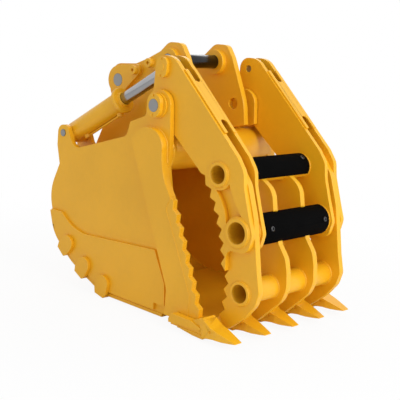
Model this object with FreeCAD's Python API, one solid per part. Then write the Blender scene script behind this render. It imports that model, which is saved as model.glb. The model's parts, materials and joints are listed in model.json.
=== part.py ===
import FreeCAD, Part
import math
import os

# Excavator claw bucket, in millimetres. X runs across the bucket, Y from the tooth tips to the rear,
# Z up from the floor. Outlines are drawn in the YZ plane as corners (y, z, corner radius).
Vector = FreeCAD.Vector

# Datum of the exported part: the middle of the stick pin
STICK_AXIS = (915.0, 1415.0)
LINK_AXIS = (1321.0, 1261.0)
PIVOT_AXIS = (757.0, 1182.0)
ROD_AXIS = (763.0, 1391.0)
BASE_AXIS = (1550.0, 911.0)
TORQUE_AXIS = (745.0, 925.0)
LOWER_TUBE_AXIS = (104.0, 261.0)
MIDDLE_TUBE_AXIS = (136.5, 589.0)
UPPER_TUBE_AXIS = (300.0, 872.0)

# Clearances
RUNNING_GAP = 0.06
WELD_GAP = 0.2
GUARD_GAP = 0.4

# Bucket body
PLATE = 30.0
SHELL_THICK = 25.0
WEAR_THICK = 20.0
WEAR_FRONT = 600.0
WEAR_TOP = 412.0
WEAR_OVERHANG = 4.0
SIDE_INNER = 427.0
SIDE_OUTER = SIDE_INNER + PLATE
SIDE_BAR_THICK = 45.0
BAR_OUTER = SIDE_OUTER + SIDE_BAR_THICK
CUTTER_THICK = 34.0
SIDE_WEAR_THICK = 16.0
SIDE_WEAR_SETBACK = 10.0
TOP_SHEET_DROP = 18.0
LIP_REACH = 38.0
LIP_CAP = 8.0
EDGE_THICK = 50.0
EDGE_FRONT = 225.0
EDGE_REAR = 660.0
EDGE_STEP = 455.0
EDGE_HALF = BAR_OUTER + LIP_REACH
EDGE_BEVEL = 60.0
EDGE_NOSE = 15.0
TORQUE_R = 110.0
TORQUE_WALL = 25.0
LUG_R = 50.0
LUG_FOOT = (1569.0, 717.0)
FAR = 2000.0

# Side cutter teeth
CUTTER_TEETH = 8
CUTTER_STEP = (-31.0, -68.0)
CUTTER_TIP = (507.0, 617.0)
CUTTER_VALLEY = (541.0, 640.0)

# Tooth points and adapters
TOOTH_COUNT = 5
STRAP_HALF = 40.0
TOOTH_PITCH = 2 * (EDGE_HALF - STRAP_HALF) / (TOOTH_COUNT - 1)
ADAPTER_HALF = STRAP_HALF + LIP_CAP
TOOTH_TIP_HALF = 27.0
TOOTH_REAR_HALF = 52.0
NOSE_HALF = 32.0
NOSE_FRONT = 90.0
TOOTH_REAR = 208.0
NOSE_GAP = 0.5
TOOTH_PIN_R = 8.0
TOOTH_PIN_HALF = 45.5
STRAP_REAR = 289.0
BOTTOM_STRAP_REAR = 398.0

# Hinge ears with the stick and link pins
HINGE_INNER = 181.0
HINGE_THICK = 38.0
HINGE_OUTER = HINGE_INNER + HINGE_THICK
HINGE_EAR_TOP = 1522.0
PAD_THICK = 28.0
BOSS_THICK = 31.0
STICK_PIN_R = 40.0
LINK_PIN_R = 38.0
STICK_BOSS_R = 74.0
STICK_PAD_R = 72.0
LINK_PAD_R = 85.0
PAD_NOSE_R = 34.0
STICK_NOSE = (1050.0, 1389.0)
LINK_NOSE = (1174.0, 1335.0)
JOURNAL_GAP = 2.0
GROOVE_WIDTH = 3.0
GROOVE_DEPTH = 1.5
KEEPER_BOSS_R = 27.0
KEEPER_BOSS_LENGTH = 28.0
KEEPER_HOLE_R = 10.0
ACCESS_HOLE_R = 34.0

# Claw pivot
PIVOT_PIN_R = 36.0
PIVOT_EAR_R = 88.0
PIVOT_EAR_INNER = 270.0
BUSH_WALL = 10.0
HUB_R = 75.0
HUB_INNER = 303.0
HUB_OUTER = 426.0
COLLAR_R = 72.0
COLLAR_THICK = 11.0
KEEPER_HALF_WIDTH = 50.5
KEEPER_HALF_HEIGHT = 66.0
KEEPER_THICK = 26.0
SCREW_R = 8.0
SCREW_SEAT = 11.0
SCREW_SUNK = 4.0
SCREW_FROM_END = 11.0

# Claw arms, plates and tines
ARM_INNER = 305.0
ARM_INNER_THICK = 27.0
CLAW_PLATE_INNER = 356.0
CLAW_PLATE_THICK = 38.0
ARM_OUTER = CLAW_PLATE_INNER + CLAW_PLATE_THICK
ARM_OUTER_THICK = 30.0
TINE_INNER = 106.0
TINE_THICK = 38.0
SERRATIONS = 11
SERRATION_MIDDLE = (245.0, 471.7)
SERRATION_LEAN = 12.525
SERRATION_R = 930.0
SERRATION_DEPTH = 29.0
SERRATION_SPACING = 72.15
ARM_FIRST_SERRATION = 4
COVER_INNER = 316.0
COVER_WIDTH = 94.0
COVER_THICK = 10.0
COVER_START = 100.0
COVER_LENGTH = 442.0
COVER_SLOT_WIDTH = 44.0
COVER_SLOT_LENGTH = 90.0

# Cross tubes and their guards
LOWER_TUBE_R = 66.0
LOWER_BORE_R = 49.5
LOWER_TUBE_HALF = 407.0
MIDDLE_TUBE_R = 78.0
MIDDLE_BORE_R = 58.0
UPPER_TUBE_R = 66.0
UPPER_BORE_R = 48.7
TUBE_HALF = 437.0
GUARD_WALL = 10.0
GUARD_HALF = 286.0
GUARD_BOLT_X = 242.0
GUARD_BOLT_R = 14.0
GUARD_BOLT_HEAD = 9.0
GUARD_SOCKET = 7.0

# Hydraulic cylinders
CYLINDER_X = 363.0
BARREL_R = 62.0
BARREL_BORE_R = 50.0
BARREL_START = 8.0
BARREL_FLOOR = 82.0
BARREL_END = 462.0
GLAND_R = 78.0
GLAND_LENGTH = 24.0
GLAND_SPIGOT = 20.0
GLAND_CHAMFER = 4.0
GLAND_RING_R = 46.0
GLAND_RING_LENGTH = 16.0
BORE_GAP = 0.3
ROD_R = 36.0
ROD_NECK_R = 29.0
ROD_NECK = 104.0
ROD_PIN_R = 21.5
BASE_PIN_R = 22.0
BASE_EYE_R = 50.0
BASE_EYE_HALF = 60.0
ROD_EYE_R = 50.0
ROD_EYE_HALF = 29.0
PISTON_LENGTH = 45.0
PISTON_END = 430.0
PORT_REAR = 102.0
PORT_FRONT = 422.0
PORT_R = 20.0
PORT_ROOT = 4.0
PORT_HEIGHT = 22.0
PORT_THREAD_R = 9.0
PORT_THREAD_DEPTH = 16.0
LINE_R = 7.0
CLAW_RANGE = 60.0
ROD_KEEPER_HALF_WIDTH = 40.5
ROD_KEEPER_HALF_HEIGHT = 57.5
ROD_KEEPER_THICK = 24.0
ROD_KEEPER_CAP = 5.0
ROD_DISC_R = 20.0
ROD_DISC_THICK = 3.0
ROD_PIN_SUNK = 7.0

ORIGIN = Vector(0, STICK_AXIS[0], STICK_AXIS[1])
SIDES = {"left": -1, "right": 1}


def corner_arc(before, at, after, radius):
    """Tangent points and middle of the arc that rounds one corner."""
    back = (before - at).normalize()
    ahead = (after - at).normalize()
    half = back.getAngle(ahead) / 2
    reach = radius / math.tan(half)
    bisector = (back + ahead).normalize()
    middle = at + bisector * (radius / math.sin(half) - radius)
    return at + back * reach, middle, at + ahead * reach


def face(corners):
    """Closed face in the YZ plane from corners (y, z) or (y, z, radius)."""
    points = [Vector(0, c[0], c[1]) for c in corners]
    radii = [c[2] if len(c) > 2 else 0 for c in corners]
    edges = []
    starts = []
    ends = []
    for i, point in enumerate(points):
        if radii[i]:
            arc = corner_arc(points[i - 1], point, points[(i + 1) % len(points)], radii[i])
            edges.append(Part.Arc(*arc).toShape())
            starts.append(arc[0])
            ends.append(arc[2])
        else:
            edges.append(None)
            starts.append(point)
            ends.append(point)
    path = []
    for i, edge in enumerate(edges):
        if edge:
            path.append(edge)
        after = starts[(i + 1) % len(points)]
        if (after - ends[i]).Length > 1e-6:
            path.append(Part.LineSegment(ends[i], after).toShape())
    return Part.Face(Part.Wire(path))


def plate(corners, x_from, x_to):
    """Flat plate between two planes across the bucket."""
    flat = face(corners) if isinstance(corners, list) else corners.copy()
    flat.translate(Vector(x_from, 0, 0))
    return flat.extrude(Vector(x_to - x_from, 0, 0))


def rod_x(axis, radius, x_from, x_to):
    """Round bar along X."""
    return Part.makeCylinder(radius, x_to - x_from, Vector(x_from, axis[0], axis[1]), Vector(1, 0, 0))


def tube_x(axis, radius, bore, x_from, x_to):
    return rod_x(axis, radius, x_from, x_to).cut(rod_x(axis, bore, x_from, x_to))


def tongue(first, first_r, second, second_r, x_from, x_to):
    """Plate whose outline wraps two circles with tangent lines."""
    a = Vector(0, *first)
    b = Vector(0, *second)
    along = (b - a).normalize()
    across = Vector(0, -along.z, along.y)
    lean = math.asin((first_r - second_r) / (b - a).Length)
    up = along * math.sin(lean) + across * math.cos(lean)
    down = along * math.sin(lean) - across * math.cos(lean)
    path = [
        Part.LineSegment(a + up * first_r, b + up * second_r).toShape(),
        Part.Arc(b + up * second_r, b + along * second_r, b + down * second_r).toShape(),
        Part.LineSegment(b + down * second_r, a + down * first_r).toShape(),
        Part.Arc(a + down * first_r, a - along * first_r, a + up * first_r).toShape(),
    ]
    return plate(Part.Face(Part.Wire(path)), x_from, x_to)


def oval(axis, half_width, half_height, x_from, x_to):
    """Keeper outline: round ends above and below."""
    shift = half_height - half_width
    upper = (axis[0], axis[1] + shift)
    lower = (axis[0], axis[1] - shift)
    return tongue(upper, half_width, lower, half_width, x_from, x_to)


def mirrored(shape):
    return shape.mirror(Vector(0, 0, 0), Vector(1, 0, 0))


def sided(shape, side):
    """A shape drawn for the right hand, put on the given side."""
    return shape if SIDES[side] > 0 else mirrored(shape)


def both(shapes):
    """The shapes of the right hand together with their mirror images."""
    return Part.makeCompound(shapes + [mirrored(s) for s in shapes])


def export(name, shape):
    moved = shape.copy()
    moved.translate(ORIGIN * -1)
    moved.exportStep("parts/%s.step" % name)


def export_pair(name, shape):
    for side in SIDES:
        export("%s_%s" % (name, side), sided(shape, side))


# Bucket shell and sides

# The sheet under the side plates' top edge, then round the rear corner, the heel and the floor
REAR_KNEE = (1538.0, 778.0, 180.0)
HEEL = [(1650.0, 530.0, 240.0), (1570.0, 286.0, 200.0), (1396.0, 147.0, 500.0), (1105.0, WEAR_THICK, 300.0)]
TOP_SLOPE = -0.3268
MOUTH_FRONT = 300.0
TOP_FRONT = 775.0


def top_edge(y, drop=0.0):
    """Height of the straight top edge of a side plate, or of the sheet below it."""
    return 958.0 + TOP_SLOPE * (y - 1045.0) - drop


def shell_profile():
    knee = (REAR_KNEE[0], top_edge(REAR_KNEE[0], TOP_SHEET_DROP), REAR_KNEE[2])
    start = (MOUTH_FRONT, top_edge(MOUTH_FRONT, TOP_SHEET_DROP))
    return face([start, knee] + HEEL + [(MOUTH_FRONT, WEAR_THICK)])


def shell_block():
    return plate(shell_profile(), -SIDE_INNER, SIDE_INNER)


def wrapper_shell():
    outer = shell_block()
    inner = plate(shell_profile().makeOffset2D(-SHELL_THICK), -SIDE_INNER, SIDE_INNER)
    below = [(0, -FAR), (EDGE_REAR, -FAR), (EDGE_REAR, 500)]
    mouth = plate(below + [(TOP_FRONT, 700), (TOP_FRONT, FAR), (0, FAR)], -SIDE_INNER, SIDE_INNER)
    drum = rod_x(TORQUE_AXIS, TORQUE_R, -SIDE_INNER, SIDE_INNER)
    return outer.cut(inner).cut(mouth).cut(drum)


def wear_wrapper():
    half = SIDE_OUTER + WEAR_OVERHANG
    outer = plate(shell_profile().makeOffset2D(WEAR_THICK), -half, half)
    inner = plate(shell_profile(), -half, half)
    kept = plate([(WEAR_FRONT, -FAR), (FAR, -FAR), (FAR, WEAR_TOP), (WEAR_FRONT, WEAR_TOP)], -half, half)
    return outer.cut(inner).common(kept)


def side_plate():
    y, z = PIVOT_AXIS
    base_y, base_z = BASE_AXIS
    ear = PIVOT_EAR_R
    lug = LUG_R
    outline = [
        (y - ear, z + ear, ear),
        (y + ear, z + ear, ear),
        (y + ear, 1112, 30),
        (968, 1062, 14),
        (990, top_edge(990), 50),
        (1450, top_edge(1450), 70),
        (base_y - lug + 14, base_z + lug, lug - 10),
        (base_y + lug, base_z + lug, lug),
        (base_y + lug, 830, 80),
        LUG_FOOT,
    ] + HEEL + [
        (EDGE_REAR, WEAR_THICK),
        (EDGE_REAR, WEAR_THICK + EDGE_THICK),
        (378, WEAR_THICK + EDGE_THICK),
        (384, 205),
        (600, 640),
        (648, 850),
        (640, 950, 60),
    ]
    body = plate(outline, SIDE_INNER, SIDE_OUTER)
    pivot = rod_x(PIVOT_AXIS, PIVOT_PIN_R + RUNNING_GAP, SIDE_INNER, SIDE_OUTER)
    base = rod_x(BASE_AXIS, BASE_PIN_R + RUNNING_GAP, SIDE_INNER, SIDE_OUTER)
    return body.cut(pivot).cut(base)


CUTTER_BACK = [(570, 705), (565, 698), (590, 650), (588, 625), (372, 205), (366, 160)]


def side_bar():
    edge_top = WEAR_THICK + EDGE_THICK
    outline = [
        (543, 40),
        (545, 190, 80),
        (906, 975, 12),
        (830, 1057, 107),
        (663, 1057, 107),
        (657, 900, 300),
        (628, 790, 200),
    ] + CUTTER_BACK + [
        (366, edge_top),
        (EDGE_STEP + 4, edge_top),
        (EDGE_STEP + 4, 40),
    ]
    return plate(outline, SIDE_OUTER, BAR_OUTER)


def side_cutter():
    zigzag = [(541, 690)]
    for i in range(CUTTER_TEETH):
        down = (CUTTER_STEP[0] * i, CUTTER_STEP[1] * i)
        zigzag.append((CUTTER_VALLEY[0] + down[0], CUTTER_VALLEY[1] + down[1]))
        zigzag.append((CUTTER_TIP[0] + down[0], CUTTER_TIP[1] + down[1]))
    foot = [(zigzag[-1][0], WEAR_THICK + EDGE_THICK), (366, WEAR_THICK + EDGE_THICK)]
    return plate(zigzag + foot + CUTTER_BACK[::-1], BAR_OUTER - CUTTER_THICK, BAR_OUTER)


def side_wear_plate():
    outline = [
        (576, 72),
        (589, 200, 60),
        (684, 375),
        (1100, 345, 900),
        (1300, 331, 300),
        (1420, 362, 250),
        (1505, 425),
        (FAR, 425),
        (FAR, -FAR),
        (EDGE_REAR, -FAR),
        (EDGE_REAR, 72),
    ]
    sheet = plate(outline, SIDE_OUTER, SIDE_OUTER + SIDE_WEAR_THICK)
    lower = shell_profile().makeOffset2D(-SIDE_WEAR_SETBACK)
    return sheet.common(plate(lower, SIDE_OUTER, SIDE_OUTER + SIDE_WEAR_THICK))


# Heel shrouds: middle of the foot on the wear wrapper and its tilt in degrees; the leg has a round head
SHROUDS = [(1466.0, 190.0, 39.0), (1292.0, 84.0, 28.0), (1096.0, 8.0, 13.0)]
SHROUD_HALF = 50.0
SHROUD_HEIGHT = 122.0
SHROUD_FOOT_HALF = 37.0
SHROUD_FOOT = 8.0
SHROUD_FLARE = 22.0
SHROUD_THICK = 22.0
SHROUD_REACH = 60.0


def heel_shrouds(wrapper):
    outer = SIDE_OUTER + SIDE_WEAR_THICK + SHROUD_THICK
    half = SHROUD_HALF
    foot_half = SHROUD_FOOT_HALF
    blocks = []
    for y, z, tilt in SHROUDS:
        leg = plate([(-foot_half, -SHROUD_FOOT), (foot_half, -SHROUD_FOOT),
                     (half, SHROUD_FLARE), (half, SHROUD_HEIGHT, half - 1),
                     (-half, SHROUD_HEIGHT, half - 1), (-half, SHROUD_FLARE)],
                    SIDE_OUTER + SIDE_WEAR_THICK, outer)
        foot = plate([(-foot_half, -SHROUD_FOOT), (foot_half, -SHROUD_FOOT), (foot_half, WEAR_THICK),
                      (-foot_half, WEAR_THICK)], outer - SHROUD_REACH, outer)
        block = leg.fuse(foot)
        block.rotate(Vector(0, 0, 0), Vector(1, 0, 0), tilt)
        block.translate(Vector(0, y, z))
        hollow = plate(shell_profile(), 0, SIDE_OUTER + SIDE_WEAR_THICK)
        blocks.append(block.cut(wrapper).cut(hollow).removeSplitter())
    return both(blocks)


def base_edge():
    top = WEAR_THICK + EDGE_THICK
    blunt = WEAR_THICK + EDGE_NOSE
    nose_edge = [(EDGE_FRONT, WEAR_THICK), (EDGE_FRONT, blunt), (EDGE_FRONT + EDGE_BEVEL, top)]
    wide = plate(nose_edge + [(EDGE_STEP, top), (EDGE_STEP, WEAR_THICK)], -EDGE_HALF, EDGE_HALF)
    tail = [(EDGE_STEP, WEAR_THICK), (EDGE_STEP, top), (EDGE_REAR - 40, top),
            (EDGE_REAR, WEAR_THICK + SHELL_THICK), (EDGE_REAR, WEAR_THICK)]
    return wide.fuse(plate(tail, -SIDE_OUTER, SIDE_OUTER)).removeSplitter()


def lip_protector():
    """Cap on the end of the base edge, with a flange over the edge's top beside the side bar."""
    top = WEAR_THICK + EDGE_THICK
    start = STRAP_REAR + 2
    cap = plate([(230, 48), (234, 62), (300, 81, 60), (449, 86, 10), (468, 50), (466, 30)],
                EDGE_HALF, EDGE_HALF + LIP_CAP)
    flange = plate([(start, top), (449, top), (446, 85, 4), (300, 80), (start, 79)], BAR_OUTER + 2, EDGE_HALF)
    return cap.fuse(flange).removeSplitter()


# Teeth

def taper(half_front, half_rear, y_front, y_rear, grow=0.0):
    """Block seen from above as a trapezium, tall enough for any tooth."""
    points = [
        Vector(-half_front - grow, y_front, -50),
        Vector(half_front + grow, y_front, -50),
        Vector(half_rear + grow, y_rear, -50),
        Vector(-half_rear - grow, y_rear, -50),
        Vector(-half_front - grow, y_front, -50),
    ]
    return Part.Face(Part.makePolygon(points)).extrude(Vector(0, 0, 250))


def nose(grow=0.0):
    outline = [
        (NOSE_FRONT - grow, 46 - grow),
        (NOSE_FRONT - grow, 58 + grow),
        (TOOTH_REAR + 4, 92 + grow),
        (TOOTH_REAR + 4, 30 - grow),
    ]
    sides = taper(NOSE_HALF - 10, NOSE_HALF, NOSE_FRONT - grow, TOOTH_REAR + 4, grow)
    return plate(outline, -NOSE_HALF - grow, NOSE_HALF + grow).common(sides)


def tooth_pin_hole(x, half):
    return rod_x((160.0, 60.0), TOOTH_PIN_R, x - half, x + half)


def tooth_point():
    outline = [
        (0, 33),
        (3, 37),
        (39, 49, 60),
        (104, 68),
        (155, 81, 90),
        (TOOTH_REAR, 112),
        (TOOTH_REAR, 11),
        (169, 20, 60),
        (134, 25),
        (85, 24, 80),
        (37, 28),
    ]
    body = plate(outline, -TOOTH_REAR_HALF, TOOTH_REAR_HALF)
    plan = taper(TOOTH_TIP_HALF, TOOTH_REAR_HALF - 2, 0, 120).fuse(
        taper(TOOTH_REAR_HALF - 2, TOOTH_REAR_HALF, 120, TOOTH_REAR))
    return body.common(plan.removeSplitter()).cut(nose(NOSE_GAP)).cut(tooth_pin_hole(0, TOOTH_REAR_HALF))


def tooth_adapter():
    """Two straps over the base edge behind a wider body, with the nose that carries the tooth point."""
    top = WEAR_THICK + EDGE_THICK
    outline = [
        (TOOTH_REAR + 1, 4, 3),
        (TOOTH_REAR + 1, 114),
        (222, 122, 6),
        (268, 99, 10),
        (STRAP_REAR, 90),
        (STRAP_REAR, top),
        (EDGE_FRONT + EDGE_BEVEL, top),
        (EDGE_FRONT, WEAR_THICK + EDGE_NOSE),
        (EDGE_FRONT, WEAR_THICK),
        (BOTTOM_STRAP_REAR, WEAR_THICK),
        (BOTTOM_STRAP_REAR, 16),
        (288, 2, 40),
        (220, 0, 6),
    ]
    straps = plate(outline, -STRAP_HALF, STRAP_HALF)
    cheeks = plate([(TOOTH_REAR + 1, 4), (TOOTH_REAR + 1, 114), (222, 122, 6), (244, 110), (214, 4)],
                   -ADAPTER_HALF, ADAPTER_HALF)
    return straps.fuse([cheeks, nose()]).cut(tooth_pin_hole(0, TOOTH_REAR_HALF)).removeSplitter()


def along_edge(shape):
    """Copies of one shape at every tooth position."""
    copies = []
    for i in range(TOOTH_COUNT):
        copy = shape.copy()
        copy.translate(Vector((i - (TOOTH_COUNT - 1) / 2) * TOOTH_PITCH, 0, 0))
        copies.append(copy)
    return Part.makeCompound(copies)


# Hinge to the machine

def torque_tube():
    return tube_x(TORQUE_AXIS, TORQUE_R, TORQUE_R - TORQUE_WALL, -SIDE_INNER, SIDE_INNER)


def seated(shape):
    """Cut to sit on the torque tube and the top sheet."""
    drum = rod_x(TORQUE_AXIS, TORQUE_R, -SIDE_INNER, SIDE_INNER)
    return shape.cut(drum).cut(shell_block())


def hinge_ear():
    link_y, link_z = LINK_AXIS
    lobe = 92.0
    outline = [
        (641, 960),
        (654, 1066, 300),
        (675, 1195, 300),
        (749, 1354),
        (797, 1456, 150),
        (845, HINGE_EAR_TOP, 45),
        (940, HINGE_EAR_TOP, 70),
        (1022, 1446, 40),
        (1200, 1372, 60),
        (link_y + lobe, link_z + lobe, lobe),
        (link_y + lobe, 1195, 60),
        (1394, 1155, 40),
        (1452, 968),
        (1512, 840),
        (1480, 760),
        (800, 900),
    ]
    body = plate(outline, HINGE_INNER, HINGE_OUTER)
    pin_holes = [(STICK_AXIS, STICK_PIN_R + RUNNING_GAP), (LINK_AXIS, LINK_PIN_R + RUNNING_GAP)]
    holes = pin_holes + [(PIVOT_AXIS, ACCESS_HOLE_R)]
    for axis, radius in holes:
        body = body.cut(rod_x(axis, radius, HINGE_INNER, HINGE_OUTER))
    return seated(body)


def hinge_pad(axis, pad_r, pin_r, nose_at):
    """Outer pad round a pin hole, with the boss for the pin's keeper bolt."""
    outer = HINGE_OUTER + PAD_THICK
    pad = tongue(axis, pad_r, nose_at, PAD_NOSE_R, HINGE_OUTER, outer)
    boss = rod_x(nose_at, KEEPER_BOSS_R, outer, outer + KEEPER_BOSS_LENGTH)
    hole = rod_x(nose_at, KEEPER_HOLE_R, HINGE_OUTER, outer + KEEPER_BOSS_LENGTH)
    return pad.fuse(boss).cut(hole).cut(rod_x(axis, pin_r + RUNNING_GAP, HINGE_OUTER, outer))


def hinge_bosses():
    inner = tube_x(STICK_AXIS, STICK_BOSS_R, STICK_PIN_R + RUNNING_GAP, HINGE_INNER - BOSS_THICK, HINGE_INNER)
    stick = hinge_pad(STICK_AXIS, STICK_PAD_R, STICK_PIN_R, STICK_NOSE)
    link = hinge_pad(LINK_AXIS, LINK_PAD_R, LINK_PIN_R, LINK_NOSE)
    return both([inner, stick, link])


def hinge_pin(axis, radius, room):
    """Pin through both ears; two shallow grooves end the journal, which fills the room between them."""
    half = HINGE_OUTER + PAD_THICK
    body = rod_x(axis, radius, -half, half)
    end = room - JOURNAL_GAP
    grooves = [tube_x(axis, radius + 1, radius - GROOVE_DEPTH, end - GROOVE_WIDTH, end)]
    return body.cut(both(grooves))


# Claw pivot on the bucket

def pivot_ear():
    y, z = PIVOT_AXIS
    ear = PIVOT_EAR_R
    outline = [
        (y - ear, z + ear, ear),
        (y + ear, z + ear, ear),
        (y + ear, 1090, 80),
        (940, 990),
        (900, 940),
        (700, 880),
        (654, 930, 30),
        (648, 1034, 200),
    ]
    outer = PIVOT_EAR_INNER + PLATE
    body = plate(outline, PIVOT_EAR_INNER, outer)
    return seated(body.cut(rod_x(PIVOT_AXIS, PIVOT_PIN_R + RUNNING_GAP, PIVOT_EAR_INNER, outer)))


def pivot_keeper():
    collar_end = SIDE_OUTER + COLLAR_THICK
    outer = collar_end + KEEPER_THICK
    collar = rod_x(PIVOT_AXIS, COLLAR_R, SIDE_OUTER, collar_end)
    keeper = oval(PIVOT_AXIS, KEEPER_HALF_WIDTH, KEEPER_HALF_HEIGHT, collar_end, outer)
    body = collar.fuse(keeper).cut(rod_x(PIVOT_AXIS, PIVOT_PIN_R + RUNNING_GAP, SIDE_OUTER, outer))
    return body.cut(Part.makeCompound(keeper_screws(PIVOT_AXIS, KEEPER_HALF_HEIGHT, outer, 0)))


def keeper_screws(axis, half_height, outer, sunk):
    """Screw heads above and below a keeper's pin, sunk below its face; their bores when sunk is 0."""
    reach = half_height - SCREW_FROM_END
    screws = []
    for up in (reach, -reach):
        at = (axis[0], axis[1] + up)
        screws.append(rod_x(at, SCREW_R, outer - SCREW_SEAT, outer - sunk))
    return screws


def pivot_pin():
    outer = SIDE_OUTER + COLLAR_THICK + KEEPER_THICK
    return rod_x(PIVOT_AXIS, PIVOT_PIN_R, PIVOT_EAR_INNER - 2, outer + 1)


def cylinder_ear():
    y, z = BASE_AXIS
    lug = LUG_R
    outline = [
        (1450, top_edge(1450), 60),
        (y - lug + 14, z + lug, lug - 10),
        (y + lug, z + lug, lug),
        (y + lug, 830, 80),
        LUG_FOOT,
        (1450, 700),
        (1380, top_edge(1380)),
    ]
    outer = PIVOT_EAR_INNER + PLATE
    body = plate(outline, PIVOT_EAR_INNER, outer)
    return seated(body.cut(rod_x(BASE_AXIS, BASE_PIN_R + RUNNING_GAP, PIVOT_EAR_INNER, outer)))


def base_pin():
    return rod_x(BASE_AXIS, BASE_PIN_R, PIVOT_EAR_INNER - 2, SIDE_OUTER + 3)


# Claw

def serration(number, depth=0.0):
    """One tip of the gripping edge, or a point at some depth behind the arc that the tips stand on."""
    lean = math.radians(SERRATION_LEAN)
    centre_y = SERRATION_MIDDLE[0] + SERRATION_R * math.cos(lean)
    centre_z = SERRATION_MIDDLE[1] - SERRATION_R * math.sin(lean)
    angle = lean + (number - (SERRATIONS - 1) / 2) * SERRATION_SPACING / SERRATION_R
    radius = SERRATION_R + depth
    return (centre_y - radius * math.cos(angle), centre_z + radius * math.sin(angle))


def serrated(first, last):
    """Tips and valleys of the gripping edge, from the lower tip to the upper one."""
    points = []
    for number in range(first, last + 1):
        points.append(serration(number - 0.5, SERRATION_DEPTH))
        points.append(serration(number))
    return points


def through_holes(body, x_from, x_to, names):
    sizes = {
        "lower": (LOWER_TUBE_AXIS, LOWER_TUBE_R),
        "middle": (MIDDLE_TUBE_AXIS, MIDDLE_TUBE_R),
        "upper": (UPPER_TUBE_AXIS, UPPER_TUBE_R),
        "hub": (PIVOT_AXIS, HUB_R),
    }
    for name in names:
        axis, radius = sizes[name]
        body = body.cut(rod_x(axis, radius + WELD_GAP, x_from, x_to))
    return body


# Corners of a claw's front edge from the tip up to the middle tube
CLAW_FRONT = [(168, 44), (60, 138, 120), (0, 215, 80), (-20, 290, 60), (8, 400, 300), (30, 520, 200)]


def claw_plate():
    outline = serrated(0, SERRATIONS - 1)
    outline += [(398, 850), (345, 965, 60), (215, 965, 80), (120, 850, 100), (60, 680, 200)]
    outline += CLAW_FRONT[::-1]
    outer = CLAW_PLATE_INNER + CLAW_PLATE_THICK
    body = plate(outline, CLAW_PLATE_INNER, outer)
    return through_holes(body, CLAW_PLATE_INNER, outer, ["lower", "middle", "upper"])


# Corners shared by both plates of an arm
ARM_HEAD = [(828, 1457, 64), (700, 1457, 110)]
ARM_FRONT = [(184, 982, 60), (134, 915, 80), (122, 830, 200), (68, 672), (38, 590, 60), (62, 486, 60)]
ARM_REAR = [(398, 852, 8), (428, 856, 20), (470, 892, 60), (733, 1101, 60), (838, 1101, 80)]


def arm_plate_outer():
    lower = [(205, 484, 40)] + serrated(ARM_FIRST_SERRATION, SERRATIONS - 1)
    outline = lower + ARM_REAR + ARM_HEAD + ARM_FRONT
    outer = ARM_OUTER + ARM_OUTER_THICK
    body = plate(outline, ARM_OUTER, outer)
    window = face([(236, 860), (340, 820), (247, 716, 300), (212, 590), (90, 640), (184, 751, 500)])
    window = plate(window, ARM_OUTER, outer)
    window = window.cut(rod_x(UPPER_TUBE_AXIS, UPPER_TUBE_R + 18, ARM_OUTER, outer))
    window = window.cut(rod_x(MIDDLE_TUBE_AXIS, MIDDLE_TUBE_R + 10, ARM_OUTER, outer))
    body = through_holes(body.cut(window), ARM_OUTER, outer, ["middle", "upper", "hub"])
    return body.cut(rod_x(ROD_AXIS, ROD_PIN_R + RUNNING_GAP, ARM_OUTER, outer))


def arm_plate_inner():
    lower = [(205, 484, 60)]
    rear = [serration(n, SERRATION_DEPTH + 6) for n in (5, 10)]
    middle = serration(7.5, SERRATION_DEPTH + 10)
    lower += [rear[0], (middle[0], middle[1], 600), rear[1]]
    outer = ARM_INNER + ARM_INNER_THICK
    body = plate(lower + ARM_REAR + ARM_HEAD + ARM_FRONT, ARM_INNER, outer)
    body = through_holes(body, ARM_INNER, outer, ["middle", "upper", "hub"])
    return body.cut(rod_x(ROD_AXIS, ROD_PIN_R + RUNNING_GAP, ARM_INNER, outer))


def arm_cover():
    """Cover strip on the arm's front edges, slotted at both ends."""
    top = Vector(0, ARM_HEAD[1][0], ARM_HEAD[1][1])
    low = Vector(0, ARM_FRONT[0][0], ARM_FRONT[0][1])
    down = (low - top).normalize()
    out = Vector(0, down.z, -down.y)
    start = top + down * COVER_START
    end = start + down * COVER_LENGTH
    corners = [start, end, end + out * COVER_THICK, start + out * COVER_THICK]
    outer = COVER_INNER + COVER_WIDTH
    body = plate([(c.y, c.z) for c in corners], COVER_INNER, outer)
    middle = (COVER_INNER + outer) / 2
    half = COVER_SLOT_WIDTH / 2
    for mouth, inward in ((start, down), (end, down * -1)):
        head = mouth + inward * (COVER_SLOT_LENGTH - half)
        slot = Part.makeCylinder(half, 4 * COVER_THICK, head - out * COVER_THICK + Vector(middle, 0, 0), out)
        back = mouth - inward * 5
        run = [back - out * COVER_THICK, head - out * COVER_THICK, head + out * 3 * COVER_THICK,
               back + out * 3 * COVER_THICK]
        slot = slot.fuse(plate([(c.y, c.z) for c in run], middle - half, middle + half))
        body = body.cut(slot)
    return body


def guard(axis, tube_r, angle_from, angle_to, grow=0.0):
    """Half pipe round the front of a cross tube; grow gives the room that it needs in a tine."""
    inner = tube_r + GUARD_GAP - grow
    outer = tube_r + GUARD_GAP + GUARD_WALL + grow
    half = GUARD_HALF
    reach = 3 * outer
    sector = [(axis[0], axis[1])]
    steps = 4
    for i in range(steps + 1):
        angle = math.radians(angle_from + (angle_to - angle_from) * i / steps)
        sector.append((axis[0] + reach * math.cos(angle), axis[1] + reach * math.sin(angle)))
    return tube_x(axis, outer, inner, -half, half).common(plate(sector, -half, half))


MIDDLE_GUARD_ANGLES = (88.0, 238.0)
UPPER_GUARD_ANGLES = (68.0, 205.0)


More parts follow.
